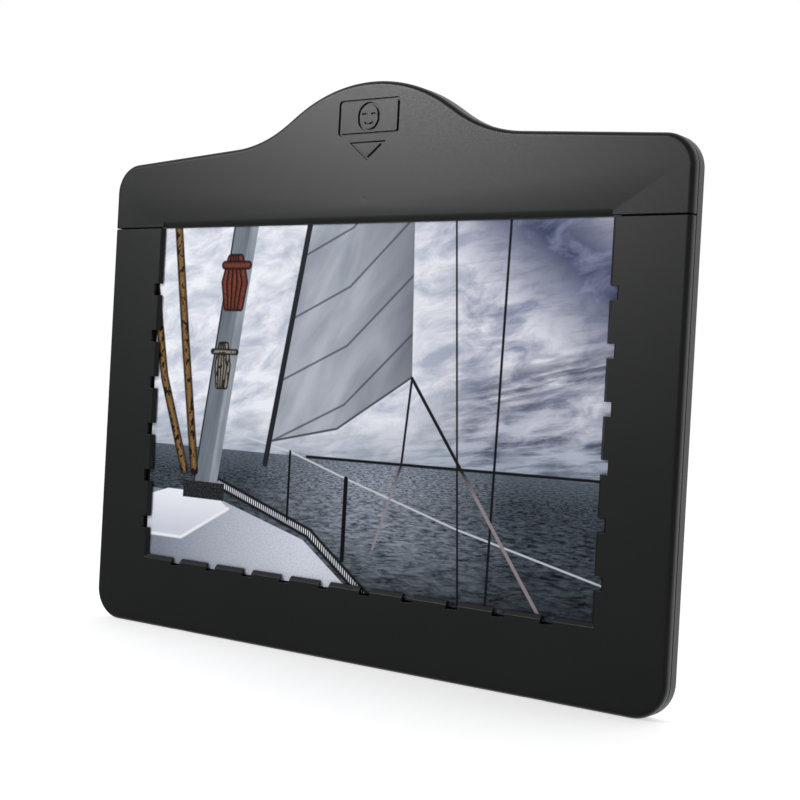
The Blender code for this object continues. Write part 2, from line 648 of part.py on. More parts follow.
def make_pressure_plate(mat):
    half = PRINT_WIDTH / 2
    plate = box("pressure_plate", (-half, PLATE_FRONT_Y, PRINT_BOTTOM),
                (half, PLATE_BACK_Y, PRINT_TOP), PARTS)
    hook_y = PLATE_FRONT_Y + REST_GAP / 2
    for i, (side, z) in enumerate(hook_spots()):
        clear_x = half + POCKET_GAP - HOOK_REACH - REST_GAP
        x_low, x_high = sorted((side * (half + CUT), side * clear_x))
        reach = HOOK_LENGTH / 2 + REST_GAP
        step = box("plate_step_%d" % i, (x_low, PLATE_FRONT_Y - CUT, z - reach),
                   (x_high, hook_y + HOOK_THICKNESS + REST_GAP, z + reach))
        boolean(plate, step, "DIFFERENCE")
    bake(plate)
    plate.data.materials.clear()
    plate.data.materials.append(mat)
    return plate


def make_springs(mat):
    """Four bowed strips: the middle lies on the floor and the ends press on the plate."""
    low_y = FLOOR_Y - REST_GAP / 2 - SPRING_THICKNESS
    high_y = PLATE_BACK_Y + REST_GAP / 2 + SPRING_THICKNESS / 2
    bow = low_y - high_y
    radius = (SPRING_LENGTH ** 2 / 4 + bow ** 2) / (2 * bow)
    sweep = SPRING_LENGTH / radius
    steps = 10
    for side, x_tag in ((-1, "left"), (1, "right")):
        for z, z_tag in ((PRINT_BOTTOM + SPRING_Z_INSET, "bottom"),
                         (PRINT_TOP - SPRING_Z_INSET, "top")):
            name = "plate_spring_%s_%s" % (z_tag, x_tag)
            mesh = bpy.data.meshes.new(name)
            bm = bmesh.new()
            bmesh.ops.create_grid(bm, x_segments=steps, y_segments=1, size=0.5)
            for vert in bm.verts:
                angle = vert.co.x * sweep
                x = side * SPRING_X + radius * sin(angle)
                y = low_y - radius * (1 - cos(angle))
                vert.co = (x, y, z + vert.co.y * SPRING_WIDTH)
            bmesh.ops.recalc_face_normals(bm, faces=bm.faces)
            bm.to_mesh(mesh)
            bm.free()
            spring = place(mesh, name, PARTS, mat)
            wall = spring.modifiers.new("thickness", "SOLIDIFY")
            wall.thickness = SPRING_THICKNESS
            wall.offset = 0.0
            bake(spring)


def make_hinge_pins(mat):
    for side, tag in ((-1, "left"), (1, "right")):
        x = side * HINGE_CENTRE_X
        half = HINGE_PIN_LENGTH / 2
        pin = cylinder("hinge_pin_" + tag, HINGE_PIN_RADIUS, (x - half, PIVOT_Y, PIVOT_Z),
                       (x + half, PIVOT_Y, PIVOT_Z), 16, PARTS)
        pin.data.materials.append(mat)
        pin.data.shade_smooth()
        pin.data.set_sharp_from_angle(angle=radians(30))


def make_catches(magnet_mat, steel_mat):
    for side, tag in ((-1, "left"), (1, "right")):
        x = side * CATCH_X
        front = magnet_front_y()
        magnet = cylinder("catch_magnet_" + tag, MAGNET_RADIUS, (x, front, CATCH_Z),
                          (x, front + MAGNET_THICKNESS, CATCH_Z), 24, PARTS)
        magnet.data.materials.append(magnet_mat)
        keeper = cylinder("catch_keeper_" + tag, MAGNET_RADIUS, (x, KEEPER_FRONT_Y, CATCH_Z),
                          (x, KEEPER_FRONT_Y + KEEPER_THICKNESS, CATCH_Z), 24, PARTS)
        keeper.data.materials.append(steel_mat)


def make_screws(mat):
    """Five cover screws from the back, each with a cross recess in its head."""
    for i, (x, z) in enumerate(screw_spots()):
        head_end = SCREW_HEAD_Y + SCREW_HEAD_HEIGHT
        screw = cylinder("cover_screw_%d" % (i + 1), SCREW_HEAD_RADIUS,
                         (x, SCREW_HEAD_Y, z), (x, head_end, z), 24, PARTS)
        shank = cylinder("shank_%d" % i, SCREW_SHANK_RADIUS, (x, FACE_BACK_Y + REST_GAP, z),
                         (x, SCREW_HEAD_Y + CUT, z), 16)
        boolean(screw, shank, "UNION")
        for wide, tall, tag in ((CROSS_ARM, CROSS_SLOT, "a"), (CROSS_SLOT, CROSS_ARM, "b")):
            cross = box("cross_%d%s" % (i, tag), (x - wide, head_end - CROSS_DEPTH, z - tall),
                        (x + wide, head_end + CUT, z + tall))
            boolean(screw, cross, "DIFFERENCE")
        smooth(screw)
        screw.data.materials.clear()
        screw.data.materials.append(mat)


def main():
    clear_scene()
    mats = make_materials()
    make_rear_tray(mats["shell"])
    make_handle_cover(mats["shell"])
    make_front_frame(mats["shell"])
    make_print(mats["print"])
    make_pressure_plate(mats["plate"])
    make_springs(mats["spring"])
    make_hinge_pins(mats["steel"])
    make_catches(mats["magnet"], mats["steel"])
    make_screws(mats["screw"])


main()
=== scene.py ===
# Hinged holder for one 6 x 4 inch print: the looks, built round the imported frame.
# Lengths in the settings are millimetres; X runs right, Y to the back, Z up.
from math import cos, pi, radians, sin

import bpy
from mathutils import Euler, Matrix, Vector


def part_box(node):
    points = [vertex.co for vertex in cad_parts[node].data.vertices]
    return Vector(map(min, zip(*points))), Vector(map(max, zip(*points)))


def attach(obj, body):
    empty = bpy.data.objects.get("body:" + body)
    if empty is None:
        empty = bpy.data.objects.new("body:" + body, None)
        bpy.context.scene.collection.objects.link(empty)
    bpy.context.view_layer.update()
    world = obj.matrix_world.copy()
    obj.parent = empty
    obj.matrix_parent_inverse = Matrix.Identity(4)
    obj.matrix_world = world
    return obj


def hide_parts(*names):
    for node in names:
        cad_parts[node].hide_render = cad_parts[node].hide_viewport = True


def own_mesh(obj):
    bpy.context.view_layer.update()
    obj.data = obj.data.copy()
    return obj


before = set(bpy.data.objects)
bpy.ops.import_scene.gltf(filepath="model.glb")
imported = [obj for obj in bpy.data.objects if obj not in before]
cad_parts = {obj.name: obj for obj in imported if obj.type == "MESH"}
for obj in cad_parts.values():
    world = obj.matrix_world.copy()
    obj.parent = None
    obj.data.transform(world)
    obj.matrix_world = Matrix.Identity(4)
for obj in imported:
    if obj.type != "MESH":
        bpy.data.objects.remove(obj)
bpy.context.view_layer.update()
mm = 0.001


def nodeBox(name):
    low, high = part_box(name)
    return low / mm, high / mm


trayHigh = nodeBox("rear_tray")[1]
coverHigh = nodeBox("handle_cover")[1]
frameLow, frameHigh = nodeBox("front_frame")
printLow, printHigh = nodeBox("photo_print")
seamGap = 0.3
seamZ = frameHigh.z + seamGap / 2
frontY = frameLow.y
backY = trayHigh.y
halfWidth = trayHigh.x


# modelling helpers

def deselectAll():
    if bpy.context.mode != "OBJECT":
        bpy.ops.object.mode_set(mode="OBJECT")
    bpy.ops.object.select_all(action="DESELECT")


def activate(obj):
    deselectAll()
    obj.select_set(True)
    bpy.context.view_layer.objects.active = obj


def editAll(obj, mode="VERT"):
    activate(obj)
    bpy.ops.object.mode_set(mode="EDIT")
    bpy.ops.mesh.select_mode(type=mode)
    bpy.ops.mesh.select_all(action="SELECT")


def place(plane, a, b, depth):
    # a point of a standing outline: (a, b) lie in the plane and depth across it
    return Vector((a, depth, b)) * mm if plane == "XZ" else Vector((depth, a, b)) * mm


def arc(cx, cz, radius, start, end, steps):
    return ("arc", cx, cz, radius, start, end, steps)


def drawOutline(name, path, depth, plane="XZ"):
    # the pen starts as one vertex; it is extruded along straights and spun round arcs
    deselectAll()
    bpy.ops.mesh.primitive_plane_add(size=mm)
    obj = bpy.context.object
    obj.name = name
    bpy.ops.object.mode_set(mode="EDIT")
    bpy.ops.mesh.select_mode(type="VERT")
    bpy.ops.mesh.select_all(action="SELECT")
    bpy.ops.mesh.merge(type="CENTER")
    axis = (0, 1, 0) if plane == "XZ" else (-1, 0, 0)
    pen = None
    for index, step in enumerate(path + path[:1]):
        isArc = step[0] == "arc"
        if isArc:
            cx, cz, radius, start, end, steps = step[1:]
            target = place(plane, cx + radius * cos(radians(start)), cz + radius * sin(radians(start)), depth)
        else:
            target = place(plane, step[0], step[1], depth)
        if pen is None:
            bpy.ops.transform.translate(value=target)
        elif (target - pen).length > 1e-7:
            bpy.ops.mesh.extrude_vertices_move(TRANSFORM_OT_translate={"value": target - pen})
        pen = target
        if isArc and index < len(path):
            bpy.ops.mesh.spin(steps=steps, angle=radians(end - start), axis=axis,
                              center=place(plane, cx, cz, depth))
            pen = place(plane, cx + radius * cos(radians(end)), cz + radius * sin(radians(end)), depth)
    bpy.ops.mesh.select_all(action="SELECT")
    bpy.ops.mesh.remove_doubles(threshold=1e-6)
    return obj


def slab(name, path, low, high, plane="XZ"):
    obj = drawOutline(name, path, low, plane)
    bpy.ops.mesh.edge_face_add()
    step = (0, (high - low) * mm, 0) if plane == "XZ" else ((high - low) * mm, 0, 0)
    bpy.ops.mesh.extrude_region_move(TRANSFORM_OT_translate={"value": step})
    bpy.ops.mesh.select_all(action="SELECT")
    bpy.ops.mesh.normals_make_consistent(inside=False)
    bpy.ops.object.mode_set(mode="OBJECT")
    return obj


def bar(name, low, high):
    deselectAll()
    low, high = Vector(low) * mm, Vector(high) * mm
    bpy.ops.mesh.primitive_cube_add(size=1, location=(low + high) / 2, scale=high - low)
    bpy.ops.object.transform_apply()
    bpy.context.object.name = name
    return bpy.context.object


def rod(name, radius, start, end, sides=48, endRadius=None):
    deselectAll()
    start, end = Vector(start) * mm, Vector(end) * mm
    run = end - start
    turn = run.to_track_quat("Z", "Y").to_euler()
    top = radius if endRadius is None else endRadius
    bpy.ops.mesh.primitive_cone_add(vertices=sides, radius1=radius * mm, radius2=top * mm, depth=run.length,
                                    location=(start + end) / 2, rotation=turn)
    bpy.ops.object.transform_apply()
    bpy.context.object.name = name
    return bpy.context.object


def applyModifier(obj, kind, **settings):
    activate(obj)
    modifier = obj.modifiers.new(kind, kind)
    for key, value in settings.items():
        setattr(modifier, key, value)
    bpy.ops.object.modifier_apply(modifier=modifier.name)


def combine(obj, tool, operation="DIFFERENCE"):
    applyModifier(obj, "BOOLEAN", object=tool, operation=operation, solver="EXACT")
    bpy.data.objects.remove(tool, do_unlink=True)


def bevelEdges(obj, test, width, segments=4):
    editAll(obj, "EDGE")
    bpy.ops.mesh.select_all(action="DESELECT")
    bpy.ops.object.mode_set(mode="OBJECT")
    points = [vert.co / mm for vert in obj.data.vertices]
    for edge in obj.data.edges:
        edge.select = test(points[edge.vertices[0]], points[edge.vertices[1]])
    bpy.ops.object.mode_set(mode="EDIT")
    bpy.ops.mesh.bevel(offset=width * mm, segments=segments, profile=0.5, affect="EDGES", clamp_overlap=False)
    bpy.ops.object.mode_set(mode="OBJECT")


def near(value, target, slack=0.01):
    return abs(value - target) < slack


def finishSurface(obj, material, edge=0.08, angle=35.0):
    # the moulded edge radius, then smooth shading and the finish
    if edge:
        editAll(obj)
        bpy.ops.mesh.remove_doubles(threshold=1e-6)
        bpy.ops.mesh.dissolve_limited(angle_limit=radians(0.3))
        bpy.ops.object.mode_set(mode="OBJECT")
        applyModifier(obj, "BEVEL", width=edge * mm, segments=2, limit_method="ANGLE",
                      angle_limit=radians(angle), use_clamp_overlap=False, miter_outer="MITER_ARC")
    activate(obj)
    bpy.ops.object.shade_smooth_by_angle(angle=radians(angle))
    applyModifier(obj, "WEIGHTED_NORMAL", mode="FACE_AREA", weight=100, keep_sharp=True)
    obj.data.materials.clear()
    obj.data.materials.append(material)


def register(obj, body, node):
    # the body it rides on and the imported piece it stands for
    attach(obj, body)
    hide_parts(node)


def finishPiece(obj, material, body, node, edge=0.08):
    finishSurface(obj, material, edge)
    register(obj, body, node)


def copyTo(source, name, shift):
    # what repeats is modelled once, and each copy has its own mesh
    twin = source.copy()
    twin.data = source.data.copy()
    twin.name = name
    bpy.context.scene.collection.objects.link(twin)
    twin.data.transform(Matrix.Translation(Vector(shift) * mm))
    return twin


# materials

def hexColour(code):
    # sRGB hex to linear
    parts = [int(code[i:i + 2], 16) / 255 for i in (1, 3, 5)]
    return [p / 12.92 if p <= 0.04045 else ((p + 0.055) / 1.055) ** 2.4 for p in parts] + [1.0]


def addNode(tree, kind, inputs=None, **settings):
    node = tree.nodes.new(kind)
    for key, value in settings.items():
        setattr(node, key, value)
    for socket, value in (inputs or {}).items():
        if isinstance(value, bpy.types.NodeSocket):
            tree.links.new(value, node.inputs[socket])
        else:
            node.inputs[socket].default_value = value
    return node


def newMaterial(name, colour, roughness, metallic=0.0, **sockets):
    material = bpy.data.materials.new(name)
    material.use_nodes = True
    shader = material.node_tree.nodes["Principled BSDF"]
    shader.inputs["Base Color"].default_value = hexColour(colour)
    shader.inputs["Roughness"].default_value = roughness
    shader.inputs["Metallic"].default_value = metallic
    for key, value in sockets.items():
        shader.inputs[key.replace("_", " ")].default_value = value
    return material, material.node_tree, shader


def mixColours(tree, mask, under, over):
    node = addNode(tree, "ShaderNodeMix", data_type="RGBA")
    for socket, value in (("Factor", mask), ("A", under), ("B", over)):
        isColour = socket != "Factor"
        target = [s for s in node.inputs if s.name == socket and (s.type == "RGBA") == isColour][0]
        if isinstance(value, bpy.types.NodeSocket):
            tree.links.new(value, target)
        else:
            target.default_value = hexColour(value) if isinstance(value, str) else value
    return [s for s in node.outputs if s.type == "RGBA"][0]


mould = {"cloud": 38.0, "pit": 0.8, "glossSpread": 0.05, "bump": 0.35, "bumpDeep": 0.012}
draw = {"stretch": 0.05, "smoother": 0.1, "rougher": 0.12, "bump": 0.2, "bumpDeep": 0.01}


def mouldedPlastic(name, colour, light, roughness, grain):
    # ABS from a spark-eroded mould: a fine, even orange peel that breaks up the light.
    # The real grain is about 0.1 mm and wouldn't show, so it is drawn at 0.3 mm.
    material, tree, shader = newMaterial(name, colour, roughness, IOR=1.54)
    where = addNode(tree, "ShaderNodeTexCoord").outputs["Object"]
    fine = addNode(tree, "ShaderNodeTexNoise", {"Vector": where, "Scale": 1 / (grain * mm), "Detail": 3.0,
                                                "Roughness": 0.6}, noise_dimensions="3D").outputs["Fac"]
    pits = addNode(tree, "ShaderNodeTexVoronoi", {"Vector": where, "Scale": mould["pit"] / (grain * mm)})
    flow = addNode(tree, "ShaderNodeTexNoise", {"Vector": where, "Scale": 1 / (mould["cloud"] * mm),
                                                "Detail": 2.0})
    rough = addNode(tree, "ShaderNodeMapRange", {"Value": fine, "From Min": 0.3, "From Max": 0.7,
                                                 "To Min": roughness - mould["glossSpread"],
                                                 "To Max": roughness + mould["glossSpread"]}).outputs[0]
    tree.links.new(rough, shader.inputs["Roughness"])
    tone = addNode(tree, "ShaderNodeMath", {0: fine, 1: flow.outputs["Fac"]}, operation="MULTIPLY")
    spread = addNode(tree, "ShaderNodeMapRange", {"Value": tone.outputs[0], "From Min": 0.12,
                                                  "From Max": 0.4}).outputs[0]
    tree.links.new(mixColours(tree, spread, colour, light), shader.inputs["Base Color"])
    height = addNode(tree, "ShaderNodeMath", {0: fine, 1: pits.outputs["Distance"]}, operation="ADD")
    bump = addNode(tree, "ShaderNodeBump", {"Height": height.outputs[0], "Strength": mould["bump"],
                                            "Distance": mould["bumpDeep"] * mm})
    tree.links.new(bump.outputs["Normal"], shader.inputs["Normal"])
    return material


def drawnMetal(name, colour, roughness, grain, along):
    # drawn or ground metal: fine lines run along the way it was worked
    material, tree, shader = newMaterial(name, colour, roughness, 1.0)
    where = addNode(tree, "ShaderNodeTexCoord").outputs["Object"]
    stretch = [1 / (grain * mm) * (draw["stretch"] if axis == along else 1.0) for axis in "XYZ"]
    lay = addNode(tree, "ShaderNodeMapping", {"Vector": where, "Scale": stretch}).outputs["Vector"]
    lines = addNode(tree, "ShaderNodeTexNoise", {"Vector": lay, "Scale": 1.0, "Detail": 4.0}).outputs["Fac"]
    rough = addNode(tree, "ShaderNodeMapRange", {"Value": lines, "To Min": roughness - draw["smoother"],
                                                 "To Max": roughness + draw["rougher"]}).outputs[0]
    tree.links.new(rough, shader.inputs["Roughness"])
    bump = addNode(tree, "ShaderNodeBump", {"Height": lines, "Strength": draw["bump"],
                                            "Distance": draw["bumpDeep"] * mm})
    tree.links.new(bump.outputs["Normal"], shader.inputs["Normal"])
    return material


shellPlastic = mouldedPlastic("blackSparkErodedAbs", "#151617", "#1a1b1d", 0.42, 0.30)
platePlastic = mouldedPlastic("greyMouldedStyrene", "#3e4043", "#46484b", 0.55, 0.35)
pinSteel = drawnMetal("drawnSteelWire", "#b9b9b6", 0.28, 0.06, "X")
keeperSteel = drawnMetal("blankedSteelDisc", "#a9a9a6", 0.35, 0.12, "Z")
nickel = drawnMetal("nickelPlatedMagnet", "#c4c1b8", 0.22, 0.20, "Y")
bronze = drawnMetal("rolledPhosphorBronze", "#b98a52", 0.30, 0.10, "X")
screwZinc = drawnMetal("blackZincPlatedSteel", "#34353a", 0.38, 0.10, "Y")


# the outline that all three shells share

outline = {
    "halfWidth": halfWidth, "height": coverHigh.z, "bottomCorner": 9.0, "topCorner": 8.5,
    "crown": 46.5, "foot": 39.0, "slope": 33.0, "flank": 4.2, "shoulder": 3.8,
    "cornerSteps": 16, "footSteps": 18, "crownSteps": 44,
}


def shellPath(inset=0.0):
    o = outline
    out = Vector((sin(radians(o["slope"])), cos(radians(o["slope"]))))
    crown = Vector((0.0, o["height"] - o["crown"]))
    flankFoot = crown + out * o["crown"] + Vector((out.y, -out.x)) * o["flank"]
    foot = flankFoot + out * o["foot"]
    lean = radians(o["shoulder"])
    shoulder = foot - Vector((sin(lean), cos(lean))) * o["foot"]
    cornerX = o["halfWidth"] - o["topCorner"]
    cornerZ = shoulder.y - (o["topCorner"] + (cornerX - shoulder.x) * sin(lean)) / cos(lean)
    low = (o["halfWidth"] - o["bottomCorner"], o["bottomCorner"])
    top = 90 - o["shoulder"]
    right = [
        arc(low[0], low[1], o["bottomCorner"] - inset, -90, 0, o["cornerSteps"]),
        arc(cornerX, cornerZ, o["topCorner"] - inset, 0, top, o["cornerSteps"]),
        arc(foot.x, foot.y, o["foot"] + inset, top - 180, -90 - o["slope"], o["footSteps"]),
    ]
    left = [arc(-s[1], s[2], s[3], 180 - s[5], 180 - s[4], s[6]) for s in reversed(right)]
    left[0] = arc(-foot.x, foot.y, o["foot"] + inset, o["slope"] - 90, -top, o["footSteps"])
    middle = arc(0.0, crown.y, o["crown"] - inset, 90 - o["slope"], 90 + o["slope"], o["crownSteps"])
    return right + [middle] + left


shell = {
    "front": frontY, "back": frontY + 2.3, "rim": 1.4, "plate": 1.1, "wall": 1.2, "groove": 0.2,
    "cut": 0.2, "pivotY": -1.5, "pivotZ": 1.6, "barrel": 1.5, "barTop": 3.4, "floorY": backY - 1.5,
}
catches = {
    "x": 86.0, "z": 111.5, "magnet": 2.5, "thick": 1.5, "keeper": 0.7, "keeperY": -1.7, "magnetY": -0.7,
    "seat": 0.3, "wall": 0.8, "edge": 0.15,
}
hinge = {
    "x": 60.0, "pin": 0.4, "length": 17.4, "lug": 5.4, "lugRadius": 0.75, "play": 0.08,
    "slack": 0.3, "relief": 1.9, "snap": 0.02, "pinEdge": 0.12, "pocketFront": 0.75,
}
screws = {
    "head": 1.9, "headY": 2.2, "headHigh": 0.8, "shank": 0.8, "boss": 2.3, "bossEnd": 0.6, "dome": 0.42,
    "crossArm": 1.05, "crossHalf": 0.27, "crossDeep": 0.48, "boreSlack": 0.15, "slack": 0.3, "padWall": 0.8,
    "padHigh": 0.7,
}
screwSpots = [(-84.0, 129.0), (-42.0, 129.0), (0.0, 148.0), (42.0, 129.0), (84.0, 129.0)]
faceBack = shell["front"] + shell["plate"]


def frontBlank(name):
    blank = slab(name, shellPath(), shell["front"], shell["back"])
    bevelEdges(blank, lambda a, b: near(a.y, frontY) and near(b.y, frontY), shell["rim"], 8)
    return blank


def cutAtSeam(obj, height, keepBelow):
    # the cut leaves a flat rim; its outer edges get the chamfer that makes the joint read as a V
    editAll(obj)
    bpy.ops.mesh.bisect(plane_co=(0, 0, height * mm), plane_no=(0, 0, 1), use_fill=True,
                        clear_outer=keepBelow, clear_inner=not keepBelow)
    bpy.ops.object.mode_set(mode="OBJECT")
    backLine = shell["back"]
    bevelEdges(obj, lambda a, b: near(a.z, height) and near(b.z, height)
               and not (near(a.y, backLine) and near(b.y, backLine)), shell["groove"], 2)


def cup(name, x, z, inner, outer, low, high):
    tube = rod(name, outer, (x, low, z), (x, high, z), 64)
    combine(tube, rod("cupInside", inner, (x, low - 1, z), (x, high + 1, z), 64))
    return tube


# handle cover: hump, engraved sign, sloping lip, screw bosses

cover = frontBlank("handleCover")
cutAtSeam(cover, seamZ + seamGap / 2, False)
sign = {
    "z": seamZ + 28.3, "wide": 20.2, "tall": 9.6, "corner": 1.1, "groove": 0.62, "fine": 0.42, "deep": 0.5,
    "face": 3.9, "arrowWide": 12.1, "arrowTall": 4.9, "arrowTop": seamZ + 21.6,
    "gate": 1.4, "gateZ": seamZ + 6.3, "gateDeep": 0.1, "eyeX": 1.5, "eyeRise": 0.6, "eye": 0.7,
    "smile": 2.0, "smileDrop": 0.2,
}
lip = {"rise": 1.8, "drop": 0.15, "half": 74.45, "deep": 0.9}


def panelPath(inset):
    wide, tall = sign["wide"] / 2 - sign["corner"], sign["tall"] / 2 - sign["corner"]
    corners = ((1, -1, -90), (1, 1, 0), (-1, 1, 90), (-1, -1, 180))
    return [arc(sx * wide, sign["z"] + sz * tall, sign["corner"] - inset, start, start + 90, 6)
            for sx, sz, start in corners]


def arrowPath(inset):
    half, tall = sign["arrowWide"] / 2, sign["arrowTall"]
    top = sign["arrowTop"] - inset
    half -= inset * ((half * half + tall * tall) ** 0.5 + half) / tall
    return [(half, top), (-half, top), (0.0, top - half * tall / (sign["arrowWide"] / 2))]


def facePath(inset):
    # an egg shape: a wide brow over a narrower chin
    r = sign["face"] - inset
    brow = arc(0.0, sign["z"] + 0.35, r * 0.92, -10, 190, 28)
    return [brow, arc(0.0, sign["z"] - 0.25, r * 0.93, 190, 350, 24)]


def grooveRing(name, path, low, high, wide):
    ring = slab(name, path(0.0), low, high)
    combine(ring, slab("ringInside", path(wide), low - 1, high + 1))
    return ring


signLow, signHigh = frontY - shell["cut"], frontY + sign["deep"]
for ringPath in (panelPath, facePath, arrowPath):
    combine(cover, grooveRing("signRing", ringPath, signLow, signHigh, sign["groove"]))
for side in (-1, 1):
    eyeX, eyeZ, eye = side * sign["eyeX"], sign["z"] + sign["eyeRise"], sign["eye"]
    combine(cover, bar("eye", (eyeX - eye, signLow, eyeZ), (eyeX + eye, signHigh, eyeZ + sign["fine"])))
smileZ, smileR = sign["z"] - sign["smileDrop"], sign["smile"]
smileInner = smileR - sign["fine"]
smile = [arc(0.0, smileZ, smileR, 220, 320, 12), arc(0.0, smileZ, smileInner, 320, 220, 12)]
combine(cover, slab("smile", smile, signLow, signHigh))
gateDeep = sign["gateDeep"]
combine(cover, rod("gateMark", 2 * sign["gate"], (0, frontY - gateDeep, sign["gateZ"]),
                   (0, frontY + gateDeep, sign["gateZ"]), 48, 0.02))
hollow = slab("coverHollow", shellPath(shell["wall"]), faceBack, shell["back"] + shell["cut"])
combine(cover, hollow)
lipZ = seamZ - lip["drop"]
combine(cover, bar("lipTongue", (lip["drop"] - lip["half"], frontY + lip["deep"] - 0.01, lipZ),
                   (lip["half"] - lip["drop"], faceBack + 0.3, seamZ + 1.6)), "UNION")
lipRun = lip["rise"] + lip["drop"]
lipDeep = frontY + lip["deep"]
lipPath = [(lipDeep, lipZ), (lipDeep - 2 * lip["deep"], lipZ + 2 * lipRun),
           (lipDeep - 2 * lip["deep"], lipZ - lipRun), (lipDeep, lipZ - lipRun)]
combine(cover, slab("lipSlope", lipPath, -lip["half"], lip["half"], "YZ"))
for x, z in screwSpots:
    combine(cover, rod("boss", screws["boss"], (x, faceBack - 0.2, z), (x, screws["bossEnd"], z), 40),
            "UNION")
    combine(cover, rod("bore", screws["shank"] + screws["boreSlack"],
                       (x, faceBack - 0.1, z), (x, 2.0, z), 32))
finishPiece(cover, shellPlastic, "tray", "handle_cover")
print("handle cover built")


# front frame: notched window, barrel bar, saddles for the pins, keeper cups

window = {
    "half": 74.45, "floor": seamZ - 97.5, "sideNotch": 2.65, "bottomNotch": 2.1, "pitch": 13.9, "wide": 3.5,
    "sides": 6, "bottoms": 10, "first": 18.4, "slope": 1.05, "slopeDeep": 0.9,
}


def windowPath():
    w = window
    right = [(w["half"], seamZ + 1)]
    for i in range(w["sides"]):
        z, out = seamZ - w["first"] - i * w["pitch"], w["half"] + w["sideNotch"]
        right += [(w["half"], z + w["wide"] / 2), (out, z + w["wide"] / 2)]
        right += [(out, z - w["wide"] / 2), (w["half"], z - w["wide"] / 2)]
    right.append((w["half"], w["floor"]))
    for i in range(w["bottoms"] // 2):
        x, sill = (w["bottoms"] / 2 - 0.5 - i) * w["pitch"], w["floor"] - w["bottomNotch"]
        right += [(x + w["wide"] / 2, w["floor"]), (x + w["wide"] / 2, sill)]
        right += [(x - w["wide"] / 2, sill), (x - w["wide"] / 2, w["floor"])]
    return right + [(-x, z) for x, z in reversed(right)]


def pushVerts(obj, test, step):
    editAll(obj)
    bpy.ops.mesh.select_all(action="DESELECT")
    bpy.ops.object.mode_set(mode="OBJECT")
    for vert in obj.data.vertices:
        vert.select = test(vert.co / mm)
    bpy.ops.object.mode_set(mode="EDIT")
    bpy.ops.transform.translate(value=Vector(step) * mm)
    bpy.ops.object.mode_set(mode="OBJECT")


front = frontBlank("frontFrame")
cutAtSeam(front, seamZ - seamGap / 2, True)
pivotY, pivotZ = shell["pivotY"], shell["pivotZ"]
barrel = rod("barrel", shell["barrel"], (-halfWidth, pivotY, pivotZ), (halfWidth, pivotY, pivotZ), 64)
combine(barrel, slab("barrelClip", shellPath(0.1), frontY + shell["rim"], shell["floorY"]), "INTERSECT")
combine(front, barrel, "UNION")
hollow = slab("frameHollow", shellPath(shell["wall"]), faceBack, shell["back"] + shell["cut"])
combine(hollow, bar("keepBar", (-halfWidth, frontY, -1), (halfWidth, shell["floorY"], shell["barTop"])))
combine(front, hollow)
combine(front, slab("windowCut", windowPath(), frontY - 1, shell["back"] + 1))
plug = bar("tabSlope", (-window["half"], frontY - 0.2, window["floor"]),
           (window["half"], frontY + window["slopeDeep"], seamZ + 1))
spread = window["slope"] * (window["slopeDeep"] + 0.2) / window["slopeDeep"]
for side in (-1, 1):
    pushVerts(plug, lambda p: p.y < frontY and p.x * side > 0, (side * spread, 0, 0))
pushVerts(plug, lambda p: p.y < frontY and p.z < seamZ, (0, 0, -spread))
combine(front, plug)
for side in (-1, 1):
    x = side * hinge["x"]
    reach, run = hinge["lug"] / 2 + hinge["slack"], hinge["length"] / 2 + hinge["slack"]
    combine(front, bar("lugPocket", (x - reach, frontY + hinge["pocketFront"], -1),
                       (x + reach, 1.0, shell["barTop"] + 0.2)))
    combine(front, rod("pinBore", hinge["pin"] + hinge["play"],
                       (x - run, pivotY, pivotZ), (x + run, pivotY, pivotZ), 32))
    gape = hinge["pin"] - hinge["snap"]
    combine(front, bar("mouth", (x - run, pivotY, pivotZ - gape), (x + run, 1.0, pivotZ + gape)))
    keeperBack = catches["keeperY"] + catches["keeper"]
    combine(front, cup("keeperCup", side * catches["x"], catches["z"], catches["magnet"] + catches["seat"],
                       catches["magnet"] + catches["seat"] + catches["wall"], faceBack - 0.2, keeperBack),
            "UNION")
finishPiece(front, shellPlastic, "frame", "front_frame")
print("front frame built")


# rear tray: pocket for print and plate, hooks, hinge lugs, magnet cups, screw pads

tray = {
    "front": shell["back"] + seamGap, "back": backY, "rim": 1.0, "floor": shell["floorY"], "rib": 1.2,
    "ribFront": -1.65, "pocket": 0.4, "thumb": 16.0, "hookLong": 8.0, "hookReach": 0.9, "hookThick": 0.45,
    "hookSpread": 0.3, "hookGap": 0.15, "sink": 0.2,
}
plateFront = -1.1
padBack = tray["floor"] + tray["sink"]    # what stands on the floor is sunk into it a little
rear = slab("rearTray", shellPath(), tray["front"], tray["back"])
bevelEdges(rear, lambda a, b: near(a.y, backY) and near(b.y, backY), tray["rim"], 8)
combine(rear, slab("trayHollow", shellPath(shell["wall"]), tray["front"] - 1, tray["floor"]))
combine(rear, rod("barrelRelief", hinge["relief"],
                  (-halfWidth - 1, pivotY, pivotZ), (halfWidth + 1, pivotY, pivotZ), 64))
edgeX = printHigh.x + tray["pocket"]
lowZ, highZ = printLow.z - tray["pocket"], printHigh.z + tray["pocket"]
ring = bar("pocketRing", (-edgeX - tray["rib"], tray["ribFront"], lowZ - tray["rib"]),
           (edgeX + tray["rib"], padBack, highZ + tray["rib"]))
combine(ring, bar("pocketInside", (-edgeX, tray["ribFront"] - 1, lowZ), (edgeX, backY, highZ)))
combine(ring, bar("thumbNotch", (-tray["thumb"] / 2, -3, lowZ - tray["rib"] - 1),
                  (tray["thumb"] / 2, plateFront, lowZ + 1)))
combine(rear, ring, "UNION")
hookY = plateFront + tray["hookGap"]
hookStep = tray["hookSpread"] * (printHigh.z - printLow.z)
hookSpots = [(side, (printHigh.z + printLow.z) / 2 + up * hookStep) for side in (-1, 1) for up in (-1, 1)]
